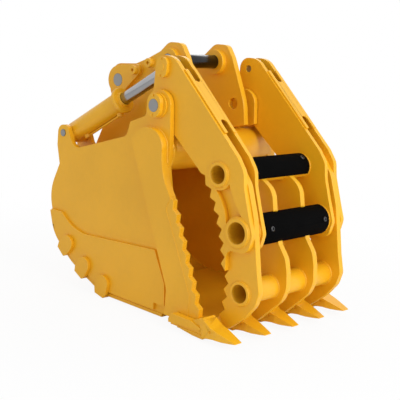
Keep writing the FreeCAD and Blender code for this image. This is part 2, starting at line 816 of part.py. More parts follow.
def claw_tine():
    outline = serrated(0, SERRATIONS - 2)
    outline += [(400, 800, 30), (392, 930, 60), (245, 955, 60), (236, 841), (150, 792, 110), (130, 687, 300)]
    outline += [(70, 506), (17, 437, 90), (-1, 368, 200), (-12, 270, 130), (16, 196, 120)]
    outline += [(93, 120, 300), (168, 44)]
    outer = TINE_INNER + TINE_THICK
    body = plate(outline, TINE_INNER, outer)
    body = through_holes(body, TINE_INNER, outer, ["lower", "middle", "upper"])
    body = body.cut(guard(MIDDLE_TUBE_AXIS, MIDDLE_TUBE_R, *MIDDLE_GUARD_ANGLES, grow=1.0))
    body = body.cut(guard(UPPER_TUBE_AXIS, UPPER_TUBE_R, *UPPER_GUARD_ANGLES, grow=1.0))
    return max(body.Solids, key=lambda solid: solid.Volume)


def hex_socket(at, out, across, depth):
    """Hexagonal bore into a bolt head from its outer face."""
    side = out.cross(Vector(1, 0, 0)).normalize()
    reach = across / math.sqrt(3)
    corners = []
    for i in range(7):
        angle = math.radians(60 * i)
        corners.append(at + Vector(1, 0, 0) * (reach * math.cos(angle)) + side * (reach * math.sin(angle)))
    return Part.Face(Part.makePolygon(corners)).extrude(out * -depth)


def guard_bolts():
    """Button heads with hex sockets at both ends of each guard."""
    heads = []
    for axis, tube_r, angle in ((MIDDLE_TUBE_AXIS, MIDDLE_TUBE_R, 166), (UPPER_TUBE_AXIS, UPPER_TUBE_R, 128)):
        out = Vector(0, math.cos(math.radians(angle)), math.sin(math.radians(angle)))
        seat = tube_r + GUARD_GAP + GUARD_WALL - 1
        at = Vector(GUARD_BOLT_X, axis[0], axis[1]) + out * seat
        head = Part.makeCylinder(GUARD_BOLT_R, GUARD_BOLT_HEAD, at, out)
        head = head.makeFillet(4, [head.Edges[0]])
        heads.append(head.cut(hex_socket(at + out * GUARD_BOLT_HEAD, out, 2 * GUARD_SOCKET, GUARD_SOCKET)))
    return heads


def rod_keeper():
    """Keeper that covers the rod pin's end, with a low disc on its face."""
    inner = ARM_OUTER + ARM_OUTER_THICK
    outer = inner + ROD_KEEPER_THICK
    body = oval(ROD_AXIS, ROD_KEEPER_HALF_WIDTH, ROD_KEEPER_HALF_HEIGHT, inner, outer)
    body = body.fuse(rod_x(ROD_AXIS, ROD_DISC_R, outer, outer + ROD_DISC_THICK))
    body = body.cut(rod_x(ROD_AXIS, ROD_PIN_R + RUNNING_GAP, inner, outer - ROD_KEEPER_CAP))
    return body.cut(Part.makeCompound(keeper_screws(ROD_AXIS, ROD_KEEPER_HALF_HEIGHT, outer, 0)))


# Hydraulic cylinders: drawn from the base pin towards the rod pin

def cylinder_vectors():
    base = Vector(CYLINDER_X, *BASE_AXIS)
    rod = Vector(CYLINDER_X, *ROD_AXIS)
    along = (rod - base).normalize()
    return base, rod, along, Vector(0, -along.z, along.y)


def rod_end_at(angle):
    """Where the rod pin stands when the claw has opened by an angle in degrees."""
    turn = math.radians(-angle)
    y = ROD_AXIS[0] - PIVOT_AXIS[0]
    z = ROD_AXIS[1] - PIVOT_AXIS[1]
    return (PIVOT_AXIS[0] + y * math.cos(turn) - z * math.sin(turn),
            PIVOT_AXIS[1] + y * math.sin(turn) + z * math.cos(turn))


def base_eye_slack():
    """How far the barrel stands off its base pin across the cylinder, half way through the travel."""
    base, _, _, across = cylinder_vectors()
    halfway = Vector(CYLINDER_X, *rod_end_at(CLAW_RANGE / 2)) - base
    return -halfway.dot(across)


def bar_along(radius, start, end):
    base, _, along, _ = cylinder_vectors()
    return Part.makeCylinder(radius, end - start, base + along * start, along)


def port(at):
    """Boss under the barrel, and the threaded bore in it."""
    base, _, along, across = cylinder_vectors()
    foot = base + along * at + across * (BARREL_R - PORT_ROOT)
    thread = foot + across * (PORT_HEIGHT - PORT_THREAD_DEPTH)
    boss = Part.makeCylinder(PORT_R, PORT_HEIGHT, foot, across)
    return boss, Part.makeCylinder(PORT_THREAD_R, PORT_THREAD_DEPTH, thread, across)


def barrel():
    base, _, _, across = cylinder_vectors()
    slack = base_eye_slack()
    eye_at = base + across * (slack / 2)
    eye_axis = (eye_at.y, eye_at.z)
    low = CYLINDER_X - BASE_EYE_HALF
    high = CYLINDER_X + BASE_EYE_HALF
    bosses, threads = zip(*[port(at) for at in (PORT_REAR, PORT_FRONT)])
    body = bar_along(BARREL_R, BARREL_START, BARREL_END)
    body = body.fuse([rod_x(eye_axis, BASE_EYE_R, low, high)] + list(bosses))
    body = body.cut(bar_along(BARREL_BORE_R, BARREL_FLOOR, BARREL_END))
    body = body.cut(Part.makeCompound(list(threads)))
    return body.cut(rod_x(eye_axis, BASE_PIN_R + slack / 2 + 1, low - LUG_R, high + LUG_R)).removeSplitter()


def gland():
    face_at = BARREL_END + GLAND_LENGTH
    flange = bar_along(GLAND_R, BARREL_END, face_at)
    flange = flange.makeChamfer(GLAND_CHAMFER, [e for e in flange.Edges if isinstance(e.Curve, Part.Circle)])
    ring = bar_along(GLAND_RING_R, face_at, face_at + GLAND_RING_LENGTH)
    spigot = bar_along(BARREL_BORE_R - BORE_GAP, BARREL_END - GLAND_SPIGOT, BARREL_END)
    bore = bar_along(ROD_R + RUNNING_GAP, BARREL_END - GLAND_SPIGOT, face_at + GLAND_RING_LENGTH)
    return flange.fuse([ring, spigot]).cut(bore)


def rod():
    """Chromed shaft that necks down to pass between the arm's plates."""
    base, pin, _, _ = cylinder_vectors()
    length = (pin - base).Length
    shaft = bar_along(ROD_R, PISTON_END - PISTON_LENGTH, length - ROD_NECK)
    eye = rod_x(ROD_AXIS, ROD_EYE_R, CYLINDER_X - ROD_EYE_HALF, CYLINDER_X + ROD_EYE_HALF)
    neck = bar_along(ROD_NECK_R, length - ROD_NECK, length - ROD_PIN_R)
    body = shaft.fuse([eye, neck])
    return body.cut(rod_x(ROD_AXIS, ROD_PIN_R + RUNNING_GAP, CYLINDER_X - ROD_EYE_R, CYLINDER_X + ROD_EYE_R))


def piston():
    ring = bar_along(BARREL_BORE_R - BORE_GAP, PISTON_END - PISTON_LENGTH, PISTON_END)
    return ring.cut(bar_along(ROD_R, PISTON_END - PISTON_LENGTH, PISTON_END))


def hard_line():
    """Steel pipe under the barrel between the two ports."""
    base, _, along, across = cylinder_vectors()
    start = PORT_REAR + PORT_R
    at = base + along * start + across * (BARREL_R + LINE_R + 1)
    return Part.makeCylinder(LINE_R, PORT_FRONT - PORT_R - start, at, along)


def build():
    os.makedirs("parts", exist_ok=True)
    wrapper = wear_wrapper()
    export("wrapper_shell", wrapper_shell())
    export_pair("side_plate", side_plate())
    export_pair("side_bar", side_bar())
    export_pair("side_cutter", side_cutter())
    export("side_wear_plates", both([side_wear_plate()]))
    export("heel_shrouds", heel_shrouds(wrapper))
    export("wear_wrapper", wrapper)
    export("base_edge", base_edge())
    export("lip_protectors", both([lip_protector()]))
    export("tooth_adapters", along_edge(tooth_adapter()))
    export("tooth_points", along_edge(tooth_point()))
    export("tooth_pins", along_edge(tooth_pin_hole(0, TOOTH_PIN_HALF)))
    export("torque_tube", torque_tube())

    export_pair("hinge_ear", hinge_ear())
    export("hinge_bosses", hinge_bosses())
    export("stick_pin", hinge_pin(STICK_AXIS, STICK_PIN_R, HINGE_INNER - BOSS_THICK))
    export("link_pin", hinge_pin(LINK_AXIS, LINK_PIN_R, HINGE_INNER))

    outer = SIDE_OUTER + COLLAR_THICK + KEEPER_THICK
    export("pivot_ears", both([pivot_ear()]))
    export("pivot_pins", both([pivot_pin()]))
    export("pivot_keepers", both([pivot_keeper()]))
    export("keeper_screws", both(keeper_screws(PIVOT_AXIS, KEEPER_HALF_HEIGHT, outer, SCREW_SUNK)))
    export("cylinder_ears", both([cylinder_ear()]))
    export("base_pins", both([base_pin()]))

    export_pair("claw_plate", claw_plate())
    export_pair("arm_plate_outer", arm_plate_outer())
    export_pair("arm_plate_inner", arm_plate_inner())
    export_pair("arm_cover", arm_cover())
    export_pair("claw_tine", claw_tine())
    export("upper_tube", tube_x(UPPER_TUBE_AXIS, UPPER_TUBE_R, UPPER_BORE_R, -TUBE_HALF, TUBE_HALF))
    export("middle_tube", tube_x(MIDDLE_TUBE_AXIS, MIDDLE_TUBE_R, MIDDLE_BORE_R, -TUBE_HALF, TUBE_HALF))
    half = LOWER_TUBE_HALF
    export("lower_tube", tube_x(LOWER_TUBE_AXIS, LOWER_TUBE_R, LOWER_BORE_R, -half, half))
    bolts = both(guard_bolts())
    export("upper_guard", guard(UPPER_TUBE_AXIS, UPPER_TUBE_R, *UPPER_GUARD_ANGLES).cut(bolts))
    export("middle_guard", guard(MIDDLE_TUBE_AXIS, MIDDLE_TUBE_R, *MIDDLE_GUARD_ANGLES).cut(bolts))
    export("guard_bolts", bolts)
    bush_r = PIVOT_PIN_R + BUSH_WALL
    export("pivot_hubs", both([tube_x(PIVOT_AXIS, HUB_R, bush_r + WELD_GAP, HUB_INNER, HUB_OUTER)]))
    bush_bore = PIVOT_PIN_R + RUNNING_GAP
    export("pivot_bushings", both([tube_x(PIVOT_AXIS, bush_r, bush_bore, HUB_INNER, HUB_OUTER)]))
    keeper_outer = ARM_OUTER + ARM_OUTER_THICK + ROD_KEEPER_THICK
    rod_pin = rod_x(ROD_AXIS, ROD_PIN_R, ARM_INNER + ROD_PIN_SUNK, keeper_outer - ROD_KEEPER_CAP)
    export("rod_pins", both([rod_pin]))
    export("rod_pin_keepers", both([rod_keeper()]))
    export("rod_pin_screws", both(keeper_screws(ROD_AXIS, ROD_KEEPER_HALF_HEIGHT, keeper_outer, SCREW_SUNK)))

    export_pair("cylinder_rod", rod())
    export_pair("piston", piston())
    export_pair("cylinder_barrel", barrel())
    export_pair("cylinder_gland", gland())
    export_pair("hard_line", hard_line())


build()
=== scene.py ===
import json
import math

import bmesh
import bpy
from bpy.props import FloatProperty, FloatVectorProperty, IntProperty, PointerProperty
from mathutils import Matrix, Vector
from mathutils.bvhtree import BVHTree


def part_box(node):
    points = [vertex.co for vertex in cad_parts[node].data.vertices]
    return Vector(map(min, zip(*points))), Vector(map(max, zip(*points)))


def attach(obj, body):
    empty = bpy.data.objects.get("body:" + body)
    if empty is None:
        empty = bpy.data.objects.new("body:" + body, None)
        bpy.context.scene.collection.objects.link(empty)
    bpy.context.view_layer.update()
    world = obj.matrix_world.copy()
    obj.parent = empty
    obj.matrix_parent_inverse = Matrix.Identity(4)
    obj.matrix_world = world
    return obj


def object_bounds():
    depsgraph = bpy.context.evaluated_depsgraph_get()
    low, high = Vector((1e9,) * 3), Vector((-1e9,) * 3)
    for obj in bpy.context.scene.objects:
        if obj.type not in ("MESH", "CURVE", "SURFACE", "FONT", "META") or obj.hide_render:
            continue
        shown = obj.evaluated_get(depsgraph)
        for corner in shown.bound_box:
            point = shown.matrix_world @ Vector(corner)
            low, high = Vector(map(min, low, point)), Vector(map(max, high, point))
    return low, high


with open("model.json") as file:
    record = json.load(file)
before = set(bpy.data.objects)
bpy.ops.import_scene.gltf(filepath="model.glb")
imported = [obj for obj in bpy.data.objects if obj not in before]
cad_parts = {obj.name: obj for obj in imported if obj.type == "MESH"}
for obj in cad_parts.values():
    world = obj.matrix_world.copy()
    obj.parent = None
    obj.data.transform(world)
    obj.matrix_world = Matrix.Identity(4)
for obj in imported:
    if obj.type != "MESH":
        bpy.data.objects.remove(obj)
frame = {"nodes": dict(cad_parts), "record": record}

bl_info = {
    "name": "Claw Bucket Finish",
    "version": (1, 0, 0),
    "blender": (4, 5, 0),
    "location": "View3D > Sidebar > Claw Bucket",
    "description": "Paint, steel, weld beads and studio for an excavator claw bucket",
    "category": "Object",
}

MM = 0.001
NODES = frame["nodes"]
BODIES = frame["record"]["behaviour"]["bodies"]
CAD_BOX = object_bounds()

BLACK_NODES = ("upper_guard", "middle_guard")
PIN_NODES = ("stick_pin", "link_pin", "pivot_pins", "base_pins")
ROD_NODES = ("cylinder_rod_left", "cylinder_rod_right")
BRONZE_NODES = ("pivot_bushings",)
BOLT_NODES = ("piston_left", "piston_right", "rod_pins")
BLACK_BOLT_NODES = ("guard_bolts",)
TUBE_NODES = ("upper_tube", "middle_tube", "lower_tube")
HOLD_NODES = ("wrapper_shell",)
SPECIAL_NODES = (BLACK_NODES + PIN_NODES + ROD_NODES + BRONZE_NODES + BOLT_NODES + BLACK_BOLT_NODES
                 + TUBE_NODES + HOLD_NODES)
PATH_KINDS = ("Is Camera Ray", "Is Glossy Ray", "Is Transmission Ray")

# Weld beads: sides of the section, then ring spacing, size of the ends and growth per ring as shares of the
# radius, then ripple in radians per ring and the direction that a section starts from
BEAD_SIDES = 6
BEAD_STEP = 0.6
BEAD_END = 0.35
BEAD_GROWTH = 0.3
BEAD_RIPPLE = 0.9
BEAD_ACROSS = (0.31, 0.53, 0.79)
SEAM_ANGLE = math.radians(24)

# Rounding of sharp edges, in metres
PLATE_SOFT = 2.6 * MM
THIN_SOFT = 1.4 * MM
GUARD_SOFT = 2.0 * MM
PIN_SOFT = 4.0 * MM
ROD_SOFT = 1.2 * MM
SMALL_SOFT = 0.8 * MM
SHARP_ANGLE = math.radians(34)
SAME_PLACE = 0.02 * MM

# Widths of fades, of rubbed rims on the guards and of painted shade on the pins' rims: metres, apart from the
# bore's, a share of the tube's radius
BORE_FADE = 0.03
EYE_FADE = 4.0 * MM
GUARD_RUB = 3.0 * MM
PIN_RIM = 6.0 * MM

# Colours that no setting changes
STAIN = (0.16, 0.15, 0.14, 1.0)
DARK_EYE = (0.05, 0.05, 0.052, 1.0)
CHROME_DIM = (0.35, 0.35, 0.355, 1.0)
CHROME_BRIGHT = (0.42, 0.42, 0.425, 1.0)
BRONZE_DIM = (0.45, 0.28, 0.12, 1.0)
BRONZE_BRIGHT = (0.66, 0.44, 0.20, 1.0)
OILED_BOLT = 0.31
BLACKENED_BOLT = 0.09
PAPER = (0.85, 0.85, 0.85, 1.0)
WHITE = (1.0, 1.0, 1.0, 1.0)

# Lamps: name, place, size in metres, power in watts
LAMPS = (
    ("lamp_front", (-0.6, -6.2, 2.0), 2.6, 190.0),
    ("lamp_top", (0.8, -1.0, 6.0), 4.0, 12.0),
    ("lamp_right_rear", (4.8, 3.6, 3.6), 3.0, 60.0),
)
LAMP_AIM = (0.0, -0.1, -0.7)

# Camera: width of the sensor in millimetres, far limit in metres
SENSOR_WIDTH = 36.0
CLIP_END = 200.0

# Welded seams: piece, piece it is welded to, bead radius in millimetres; % stands for left and right
BUCKET_SEAMS = (
    ("hinge_ear_%", "torque_tube", 7.0),
    ("hinge_ear_%", "wrapper_shell", 7.0),
    ("hinge_bosses", "hinge_ear_%", 4.0),
    ("pivot_ears", "torque_tube", 6.0),
    ("pivot_ears", "wrapper_shell", 6.0),
    ("cylinder_ears", "wrapper_shell", 7.0),
    ("torque_tube", "side_plate_%", 8.0),
    ("wrapper_shell", "side_plate_%", 6.0),
    ("side_bar_%", "side_plate_%", 6.0),
    ("side_cutter_%", "side_bar_%", 3.2),
    ("tooth_adapters", "base_edge", 6.0),
    ("lip_protectors", "base_edge", 4.0),
)
CLAW_SEAMS = (
    ("arm_plate_inner_%", "pivot_hubs", 5.0),
    ("arm_plate_outer_%", "upper_tube", 6.0),
    ("arm_plate_inner_%", "upper_tube", 6.0),
    ("arm_plate_outer_%", "middle_tube", 6.0),
    ("arm_plate_inner_%", "middle_tube", 6.0),
    ("claw_plate_%", "lower_tube", 6.0),
    ("claw_tine_%", "upper_tube", 6.0),
    ("claw_tine_%", "middle_tube", 6.0),
    ("claw_tine_%", "lower_tube", 6.0),
)
THIN_NODES = (
    "keeper_screws", "rod_pin_screws", "rod_pin_keepers", "pivot_keepers", "hard_line_left",
    "hard_line_right", "tooth_points", "tooth_pins", "side_cutter_left", "side_cutter_right",
)


# Shader maths

class Tone:
    """A shader socket that adds its nodes when it is used in an expression."""

    def __init__(self, tree, socket):
        self.tree = tree
        self.socket = socket

    def math(self, operation, *values):
        return node(self.tree, "ShaderNodeMath", {"operation": operation}, *values)

    def __add__(self, other):
        return self.math("ADD", self, other)

    def __radd__(self, other):
        return self.math("ADD", other, self)

    def __sub__(self, other):
        return self.math("SUBTRACT", self, other)

    def __rsub__(self, other):
        return self.math("SUBTRACT", other, self)

    def __mul__(self, other):
        return self.math("MULTIPLY", self, other)

    def __rmul__(self, other):
        return self.math("MULTIPLY", other, self)

    def __truediv__(self, other):
        return self.math("DIVIDE", self, other)

    def __pow__(self, other):
        return self.math("POWER", self, other)

    def clamp(self, low=0.0, high=1.0):
        return node(self.tree, "ShaderNodeClamp", {}, self, low, high)

    def step(self, low, high):
        """0 below low, 1 above high, smooth between."""
        settings = {"interpolation_type": "SMOOTHSTEP"}
        return node(self.tree, "ShaderNodeMapRange", settings, self, low, high, 0.0, 1.0)


def node(tree, kind, settings, *values, out=0, **named):
    """Adds one node: its settings first, then its sockets by order or by name."""
    made = tree.nodes.new(kind)
    for key, value in settings.items():
        setattr(made, key, value)
    inputs = list(zip(made.inputs, values)) + [(made.inputs[key], value) for key, value in named.items()]
    for socket, value in inputs:
        if isinstance(value, Tone):
            tree.links.new(value.socket, socket)
        elif value is not None:
            socket.default_value = value
    return Tone(tree, made.outputs[out])


def mix_colour(tree, factor, first, second):
    """Colour between two colours; each may be a value or a Tone."""
    unused = [None] * 5
    return node(tree, "ShaderNodeMix", {"data_type": "RGBA"}, factor, *unused, first, second, out=2)


def opaque(colour):
    """Colour setting with its alpha."""
    return tuple(colour) + (1.0,)


class Finish:
    """One material under construction, with its shader and object coordinates."""

    def __init__(self, name, **constants):
        self.material = bpy.data.materials.new(name)
        self.material.use_nodes = True
        self.tree = self.material.node_tree
        self.shader = self.tree.nodes["Principled BSDF"]
        for key, value in constants.items():
            self.shader.inputs[key.replace("_", " ")].default_value = value
        self.place = node(self.tree, "ShaderNodeTexCoord", {}, out=3)

    def vector_math(self, operation, *values, out=0):
        return node(self.tree, "ShaderNodeVectorMath", {"operation": operation}, *values, out=out)

    def noise(self, scale, detail=3.0, roughness=0.5, stretch=None):
        """Noise from 0 to 1, scale cells per metre; stretch gives its cells per metre along each axis."""
        where = self.place
        if stretch:
            where = self.vector_math("MULTIPLY", self.place, stretch)
        named = {"Vector": where, "Scale": scale, "Detail": detail, "Roughness": roughness}
        return node(self.tree, "ShaderNodeTexNoise", {}, **named)

    def edge_wear_and_light(self, radius):
        """Above 0 on convex and concave edges within radius, 0 on open faces."""
        soft = node(self.tree, "ShaderNodeBevel", {"samples": 4}, radius)
        true = node(self.tree, "ShaderNodeNewGeometry", {}, out=1)
        return 1 - self.vector_math("DOT_PRODUCT", soft, true, out=1)

    def crevice(self, reach):
        """1 in corners closed in within reach, 0 on open faces."""
        return 1 - node(self.tree, "ShaderNodeAmbientOcclusion", {"samples": 4}, out=1, Distance=reach)

    def facing(self, axis):
        """How far the surface looks along one axis of the object, from 0 to 1 either way."""
        true = node(self.tree, "ShaderNodeNewGeometry", {}, out=1)
        turned = self.vector_math("DOT_PRODUCT", true, axis, out=1)
        return turned.math("ABSOLUTE", turned)

    def off_axis(self, centre):
        """Distance from the line through centre along X."""
        offset = self.vector_math("SUBTRACT", self.place, centre)
        flat = self.vector_math("MULTIPLY", offset, (0.0, 1.0, 1.0))
        return self.vector_math("LENGTH", flat, out=1)

    def feed(self, name, tone):
        self.tree.links.new(tone.socket, self.shader.inputs[name])

    def bump(self, height, strength, distance):
        """Feeds the normal with height, which stands for distance in metres."""
        self.feed("Normal", node(self.tree, "ShaderNodeBump", {}, strength, distance, Height=height))


def paint_finish(name, settings, bores=(), deep=0.0):
    """Machine enamel with soft tone changes, orange peel, painted highlights on edges and painted shade.

    The painted shade lies in tight corners, in the bores of cross tubes, given as (centre, radius of the
    tube), and with the strength deep in spaces that are closed in.
    """
    paint = Finish(name, Coat_Weight=settings.coat, Coat_Roughness=0.18, Metallic=0.0)
    broad = paint.noise(scale=3.0, detail=2.0)
    fine = paint.noise(scale=38.0, detail=4.0, roughness=0.6)
    patches = (broad * 0.7 + fine * 0.3).step(low=0.35, high=0.7)
    shade = [channel * settings.patch_shade for channel in settings.colour]
    body = mix_colour(paint.tree, patches, opaque(shade), opaque(settings.colour))
    # Painted highlight: the enamel turns brighter along edges
    rub_and_highlight = (paint.edge_wear_and_light(settings.edge * MM) * 3.0 * (fine * 0.3 + 0.55)).step(low=0.20, high=0.80)
    # Painted shade: the enamel darkens in tight corners found by ambient occlusion
    grime = (paint.crevice(settings.crevice * MM) * (fine * 0.3 + 0.85)).step(low=0.30, high=0.95)
    dark = grime * settings.grime
    # Painted shade inside the bores of the cross tubes
    for centre, radius in bores:
        wall, rim = radius * settings.bore, radius * (settings.bore + BORE_FADE)
        inside = 1 - paint.off_axis(centre).step(wall, rim)
        dark = (dark + inside * settings.bore_shade).clamp()
    # Painted shade deep in spaces that are closed in
    if deep:
        closed_in = paint.crevice(settings.hold_reach * MM).step(low=0.50, high=1.0)
        dark = (dark + closed_in * deep).clamp()
    shaded = mix_colour(paint.tree, dark, body, opaque(settings.shade_colour))
    edge_highlight = rub_and_highlight * (1 - grime) * settings.wear
    paint.feed("Base Color", mix_colour(paint.tree, edge_highlight, shaded, opaque(settings.brightened)))
    paint.feed("Roughness", settings.roughness + fine * 0.08 + rub_and_highlight * 0.06)
    peel = paint.noise(scale=settings.peel, detail=1.0)
    paint.bump(peel * 0.6 + fine * 0.4, strength=0.10, distance=1.2 * MM)
    return paint.material


def guard_finish(settings):
    """Satin black coating with a fine leathery grain and greyed edges."""
    coating = Finish("guard_black_coating", Metallic=0.0, Specular_IOR_Level=0.01)
    grain = coating.noise(scale=260.0, roughness=0.6)
    broad = coating.noise(scale=9.0)
    rub_and_highlight = coating.edge_wear_and_light(GUARD_RUB).step(low=0.05, high=0.4) * broad
    grey = [channel + settings.coating_grey for channel in settings.coating]
    share = (rub_and_highlight + broad * 0.25).clamp()
    coating.feed("Base Color", mix_colour(coating.tree, share, opaque(settings.coating), opaque(grey)))
    coating.feed("Roughness", 0.62 + broad * 0.14 + grain * 0.05)
    coating.bump(grain, strength=0.10, distance=0.8 * MM)
    return coating.material


def pin_finish(settings):
    """Hardened pin: dark ground journal with fine turning lines, brighter sawn end faces and painted shade on
    the rounded rims.
    """
    steel = Finish("hardened_pin_steel", Metallic=1.0)
    lines = steel.noise(scale=1.0, roughness=0.6, stretch=(900.0, 6.0, 6.0))
    stain = steel.noise(scale=14.0)
    end = steel.facing((1.0, 0.0, 0.0)).step(low=0.8, high=0.95)
    dark = opaque(settings.journal)
    tone = mix_colour(steel.tree, end, dark, opaque(settings.end_face))
    muted = mix_colour(steel.tree, (stain * 0.5).clamp(), tone, STAIN)
    # Painted shade: the rounded rims of the pins darken
    rim = steel.edge_wear_and_light(PIN_RIM).step(low=0.04, high=0.4)
    face = mix_colour(steel.tree, 0.35, tone, muted)
    steel.feed("Base Color", mix_colour(steel.tree, rim * 0.85, face, dark))
    steel.feed("Roughness", 0.16 + lines * 0.10 + end * 0.22)
    steel.bump(lines, strength=0.06, distance=0.4 * MM)
    return steel.material


def chrome_finish(eye_centre, settings):
    """Polished hard chrome with hair-fine lines; the rod's eye is coloured near black."""
    chrome = Finish("rod_hard_chrome", Metallic=1.0)
    lines = chrome.noise(scale=1.0, detail=2.0, stretch=(420.0, 40.0, 40.0))
    mist = chrome.noise(scale=10.0, detail=2.0)
    reach = settings.eye_reach * MM
    shaft = chrome.off_axis(eye_centre).step(reach, reach + EYE_FADE)
    bright = mix_colour(chrome.tree, mist, CHROME_DIM, CHROME_BRIGHT)
    chrome.feed("Base Color", mix_colour(chrome.tree, shaft, DARK_EYE, bright))
    chrome.feed("Roughness", 0.42 - shaft * 0.30 + lines * 0.05 + mist * 0.04)
    chrome.bump(lines, strength=0.02, distance=0.3 * MM)
    return chrome.material


def bolt_finish(name, shade):
    """Oiled bolt steel about as bright as shade, a little blue where it is darkest and lightest."""
    bolt = Finish(name, Metallic=1.0)
    speck = bolt.noise(scale=120.0, detail=4.0, roughness=0.65)
    dark = (shade * 0.65, shade * 0.65, shade * 0.67, 1.0)
    light = (shade * 1.35, shade * 1.35, shade * 1.38, 1.0)
    bolt.feed("Base Color", mix_colour(bolt.tree, speck, dark, light))
    bolt.feed("Roughness", 0.30 + speck * 0.22)
    bolt.bump(speck, strength=0.08, distance=0.6 * MM)
    return bolt.material


def bronze_finish():
    """Machined bushing bronze, dulled by grease."""
    bronze = Finish("bushing_bronze", Metallic=1.0)
    lines = bronze.noise(scale=1.0, detail=2.0, stretch=(700.0, 8.0, 8.0))
    dull = bronze.noise(scale=22.0)
    bronze.feed("Base Color", mix_colour(bronze.tree, dull, BRONZE_DIM, BRONZE_BRIGHT))
    bronze.feed("Roughness", 0.28 + dull * 0.2)
    bronze.bump(lines, strength=0.05, distance=0.5 * MM)
    return bronze.material


def middle_of(name):
    """Middle of a node's box and half its extents."""
    low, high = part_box(name)
    return (low + high) / 2, (high - low) / 2


def dress(names, material, soften):
    """Gives CAD nodes a finish and rounds their sharp edges by soften, in metres."""
    for name in names:
        piece = NODES[name]
        piece.data.materials.clear()
        piece.data.materials.append(material)
        weld = piece.modifiers.new("join_corners", "WELD")
        weld.merge_threshold = SAME_PLACE
        bevel = piece.modifiers.new("soft_edges", "BEVEL")
        bevel.width = soften
        bevel.segments = 2
        bevel.limit_method = "ANGLE"
        bevel.angle_limit = SHARP_ANGLE
        bevel.use_clamp_overlap = True
        bevel.harden_normals = True


def dress_painted(names, material):
    """Gives painted CAD nodes a finish, with finer edges on the thin ones."""
    dress([name for name in names if name not in THIN_NODES], material, PLATE_SOFT)
    dress([name for name in names if name in THIN_NODES], material, THIN_SOFT)


# Weld beads

def bead_mesh(name, route, radius, ripple, closed):
    """Rippled bead along a route of points, fatter at each ripple and thin at open ends."""
    points = route + route[:1] if closed else route
    stations = []
    for start, end in zip(points, points[1:]):
        count = max(1, round((end - start).length / (radius * BEAD_STEP)))
        stations += [start.lerp(end, i / count) for i in range(count)]
    stations.append(points[-1])
    last = len(stations) - 1
    vertices = []
    across = Vector(BEAD_ACROSS)
    for i, here in enumerate(stations):
        along = (stations[min(i + 1, last)] - stations[max(i - 1, 0)]).normalized()
        across = (across - along * across.dot(along)).normalized()
        up = across.cross(along)
        swell = radius * (1.0 - ripple + ripple * abs(math.sin(i * BEAD_RIPPLE)))
        if not closed:
            swell *= min(1.0, BEAD_END + BEAD_GROWTH * i, BEAD_END + BEAD_GROWTH * (last - i))
        for k in range(BEAD_SIDES):
            turn = 2 * math.pi * k / BEAD_SIDES
            vertices.append(here + (across * math.cos(turn) + up * math.sin(turn)) * swell)
    faces = []
    for i in range(last):
        low, high = i * BEAD_SIDES, (i + 1) * BEAD_SIDES
        for k in range(BEAD_SIDES):
            after = (k + 1) % BEAD_SIDES
            faces.append((low + k, high + k, high + after, low + after))
    faces.append(tuple(range(BEAD_SIDES)))
    faces.append(tuple(last * BEAD_SIDES + k for k in reversed(range(BEAD_SIDES))))
    mesh = bpy.data.meshes.new(name)
    mesh.from_pydata(vertices, [], faces)
    mesh.polygons.foreach_set("use_smooth", [True] * len(faces))
    return mesh


def plug_mesh(name, sign, settings):
    """Wedge of weld metal that fills the notch between the base edge's tail and a side plate."""
    low, high = Vector(settings.plug_low), Vector(settings.plug_high)
    profile = ((low.y, high.z), (high.y, low.z), (high.y, high.z))
    vertices = [(sign * x, y, z) for x in (low.x, high.x) for y, z in profile]
    faces = [(0, 1, 2), (5, 4, 3), (0, 3, 4, 1), (1, 4, 5, 2), (2, 5, 3, 0)]
    mesh = bpy.data.meshes.new(name)
    mesh.from_pydata(vertices, [], faces if sign < 0 else [face[::-1] for face in faces])
    return mesh


def add_object(name, data):
    piece = bpy.data.objects.new(name, data)
    bpy.context.scene.collection.objects.link(piece)
    return piece


def add_weld(mesh, body, material):
    """Painted weld metal that moves with a body."""
    mesh.materials.append(material)
    piece = add_object(mesh.name, mesh)
    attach(piece, body)


def surface_of(name):
    """Faces of a node, ready to be asked for the nearest point."""
    mesh = NODES[name].data
    corners = [vertex.co.copy() for vertex in mesh.vertices]
    return BVHTree.FromPolygons(corners, [tuple(face.vertices) for face in mesh.polygons])


def chains(edges):
    """Edges given as pairs of keys, joined end to end; each chain says whether it is closed."""
    links = {}
    for first, second in edges:
        links.setdefault(first, []).append(second)
        links.setdefault(second, []).append(first)
    left = {frozenset(edge) for edge in edges}
    found = []
    for start in sorted(links, key=lambda key: len(links[key]) == 2):
        for ahead in links[start]:
            if frozenset((start, ahead)) not in left:
                continue
            chain = [start]
            here, onward = start, ahead
            while onward is not None:
                left.discard(frozenset((here, onward)))
                chain.append(onward)
                here = onward
                free = [k for k in links[here] if frozenset((here, k)) in left]
                onward = free[0] if len(links[here]) == 2 and free else None
            closed = chain[0] == chain[-1]
            found.append((chain[:-1] if closed else chain, closed))
    return found


def seam_routes(name, other, reach):
    """Sharp edges of one node that lie on another node's surface, as routes for a bead."""
    surface = surface_of(other)
    form = bmesh.new()
    form.from_mesh(NODES[name].data)
    bmesh.ops.remove_doubles(form, verts=form.verts, dist=SAME_PLACE)
    form.verts.ensure_lookup_table()
    chosen = []
    for edge in form.edges:
        if len(edge.link_faces) != 2 or edge.calc_face_angle(0.0) < SEAM_ANGLE:
            continue
        ends = [corner.co for corner in edge.verts]
        places = ends + [(ends[0] + ends[1]) / 2]
        gaps = [surface.find_nearest(place)[3] for place in places]
        if max(gaps) < reach:
            chosen.append(tuple(corner.index for corner in edge.verts))
    routes = [([form.verts[k].co.copy() for k in chain], closed) for chain, closed in chains(chosen)]
    form.free()
    return routes


def length_of(route):
    return sum((end - start).length for start, end in zip(route, route[1:]))


def lay_seam(name, other, body, material, radius, settings):
    """Beads along one node's edges on another; returns how many were laid."""
    laid = 0
    for route, closed in seam_routes(name, other, settings.reach * MM):
        if length_of(route) < settings.shortest * MM:
            continue
        laid += 1
        label = "bead_%s_on_%s_%d" % (name, other, laid)
        add_weld(bead_mesh(label, route, radius * MM, settings.ripple, closed), body, material)
    return laid


# Sizes and colours that a user would change

